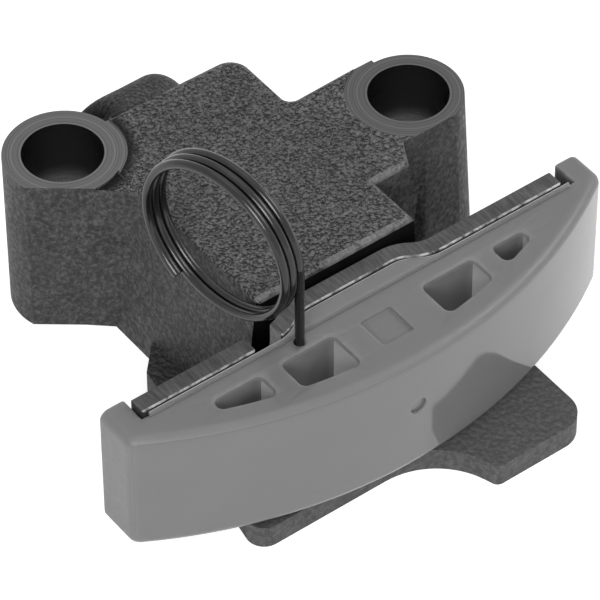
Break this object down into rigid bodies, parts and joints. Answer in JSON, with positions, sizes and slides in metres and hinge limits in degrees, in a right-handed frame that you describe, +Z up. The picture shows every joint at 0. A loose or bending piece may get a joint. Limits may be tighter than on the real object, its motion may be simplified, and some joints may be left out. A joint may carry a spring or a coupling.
{
  "type": "timing chain tensioner",
  "caption": "Hydraulic timing chain tensioner: iron body with bolt bosses, sprung plunger behind a curved nylon shoe, held by a wire lock pin.",
  "frame": {"origin": "on the mounting face, under the plunger axis, in the plane of the barrel mouth", "axes": "+Z up along the bolt bores, away from the mounting face; +X along the shoe; -Y towards the chain, the way the plunger extends"},
  "size_m": [0.0604, 0.0556, 0.0377],
  "materials": {
    "cast_iron": "as cast, machined faces",
    "plate_steel": "sheared strip",
    "nylon": "moulded, glossy running face",
    "wire": "drawn wire",
    "ground_steel": "ground",
    "disc_plastic": "moulded"
  },
  "bodies": {
    "body": {"housing": "cast_iron", "check_seat": "ground_steel", "check_ball": "ground_steel", "check_spring": "wire", "check_cage": "plate_steel", "plunger_spring": "wire", "stop_ring": "wire"},
    "shoe_carriage": {"plunger": "ground_steel", "vent_disc": "disc_plastic", "shoe_plate": "plate_steel", "shoe": "nylon"},
    "pin": {"lock_pin": "wire"}
  },
  "joints": [
    {"name": "shoe_slide", "type": "slide", "parent": "body", "child": "shoe_carriage", "axis": [0, -1, 0], "range_m": [0, 0.01]},
    {"name": "lock_pin_pull", "type": "slide", "parent": "shoe_carriage", "child": "pin", "axis": [0, 0, 1], "range_m": [0, 0.02]}
  ],
  "couplings": [
    {"joint": "lock_pin_pull", "follows": "shoe_slide", "ratio": 2}
  ]
}
